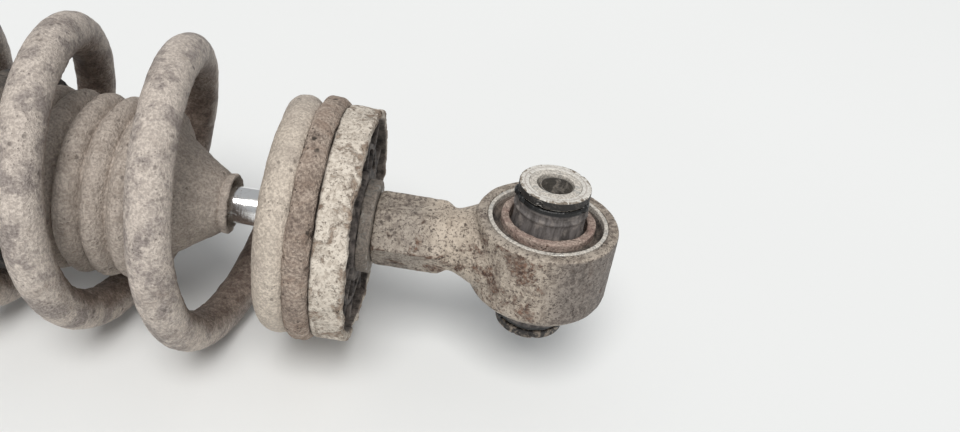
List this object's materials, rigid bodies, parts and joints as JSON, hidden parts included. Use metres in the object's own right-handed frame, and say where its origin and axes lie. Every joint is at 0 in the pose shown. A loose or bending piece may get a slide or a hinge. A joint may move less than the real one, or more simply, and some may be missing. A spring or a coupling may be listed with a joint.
{
  "type": "coilover strut",
  "caption": "Coilover strut: gas damper inside a pigtail coil spring, with bump stop, ribbed spring plate, hex stem and rubber bushed eyes.",
  "frame": {"origin": "centre of the body end eye, on its bore axis, midway between the collars", "axes": "+X along the strut from the body end eye to the rod end eye, +Z along both eye bores, +Y completes the right-handed set"},
  "size_m": [0.387, 0.1037, 0.105],
  "materials": {
    "spring_paint": "dusty, sandy grain over grey paint",
    "stop_foam": "dusty cellular polyurethane",
    "isolator_rubber": "dry, caked with dust",
    "plate_plastic": "black with a cream dirt crust on the rim",
    "plate_paint": "dusty black paint",
    "forged_steel": "grey-beige dirt with brown rust patches",
    "rusty_steel": "orange-brown rust",
    "sleeve_steel": "dull bright steel",
    "collar_steel": "light grey, worn",
    "liner_steel": "dark thin steel",
    "boot_rubber": "dusty grey rubber",
    "bush_rubber": "dark rubber",
    "seal_rubber": "oiled black rubber",
    "rod_chrome": "hard chrome with light speckles",
    "zinc_steel": "zinc plated, dusty",
    "spring_steel": "blued spring steel",
    "sintered_steel": "sintered steel",
    "guide_aluminium": "turned",
    "bush_plastic": "bronze filled bearing plastic",
    "damper_paint": "dusty black paint"
  },
  "bodies": {
    "damper_body": {"damper_tube": "damper_paint", "tube_end_cap": "damper_paint", "body_eye": "forged_steel", "mount_weld": "forged_steel", "gas_port_plug": "zinc_steel", "lower_spring_plate": "plate_paint", "lower_plate_snap_ring": "spring_steel", "lower_isolator": "isolator_rubber", "coil_spring": "spring_paint", "bump_stop_cup": "damper_paint", "bump_stop": "stop_foam", "rod_guide": "guide_aluminium", "guide_bush": "bush_plastic", "rod_seal": "seal_rubber", "rod_wiper": "seal_rubber", "head_o_ring": "seal_rubber", "head_circlip": "spring_steel", "body_end_outer_sleeve": "sleeve_steel", "body_end_outer_rubber": "bush_rubber", "body_end_interleaf_ring": "rusty_steel", "body_end_boot": "boot_rubber"},
    "rod_assembly": {"piston_rod": "rod_chrome", "strike_washer": "zinc_steel", "upper_spring_plate": "plate_plastic", "upper_isolator": "isolator_rubber", "clamp_washer": "zinc_steel", "rod_eye": "forged_steel", "rebound_bumper": "seal_rubber", "rebound_washer": "zinc_steel", "rebound_shims": "spring_steel", "piston": "sintered_steel", "piston_band": "bush_plastic", "compression_shims": "spring_steel", "piston_nut": "zinc_steel", "rod_end_outer_sleeve": "sleeve_steel", "rod_end_outer_rubber": "bush_rubber", "rod_end_interleaf_ring": "rusty_steel", "rod_end_boot": "boot_rubber"},
    "gas_piston": {"floating_piston": "guide_aluminium", "floating_piston_o_ring": "seal_rubber"},
    "rod_end_core": {"rod_end_inner_sleeve": "sleeve_steel", "rod_end_upper_collar": "collar_steel", "rod_end_lower_collar": "collar_steel", "rod_end_bolt_liner": "liner_steel"},
    "body_end_core": {"body_end_inner_sleeve": "sleeve_steel", "body_end_upper_collar": "collar_steel", "body_end_lower_collar": "collar_steel"}
  },
  "joints": [
    {"name": "rod_slide", "type": "slide", "parent": "damper_body", "child": "rod_assembly", "axis": [-1, 0, 0], "range_m": [0, 0.045], "stiffness_N_per_m": 80000, "springref_m": -0.005, "deforming": ["coil_spring", "bump_stop"]},
    {"name": "gas_piston_slide", "type": "slide", "parent": "damper_body", "child": "gas_piston", "axis": [-1, 0, 0], "range_m": [0, 0.006]},
    {"name": "rod_end_bush_twist", "type": "hinge", "parent": "rod_assembly", "child": "rod_end_core", "pos_m": [0.34, 0, 0], "axis": [0, 0, 1], "range_deg": [-15, 15], "stiffness_Nm_per_rad": 20},
    {"name": "body_end_bush_twist", "type": "hinge", "parent": "damper_body", "child": "body_end_core", "pos_m": [0, 0, 0], "axis": [0, 0, 1], "range_deg": [-15, 15], "stiffness_Nm_per_rad": 20}
  ],
  "couplings": [
    {"joint": "gas_piston_slide", "follows": "rod_slide", "ratio": 0.11864}
  ]
}
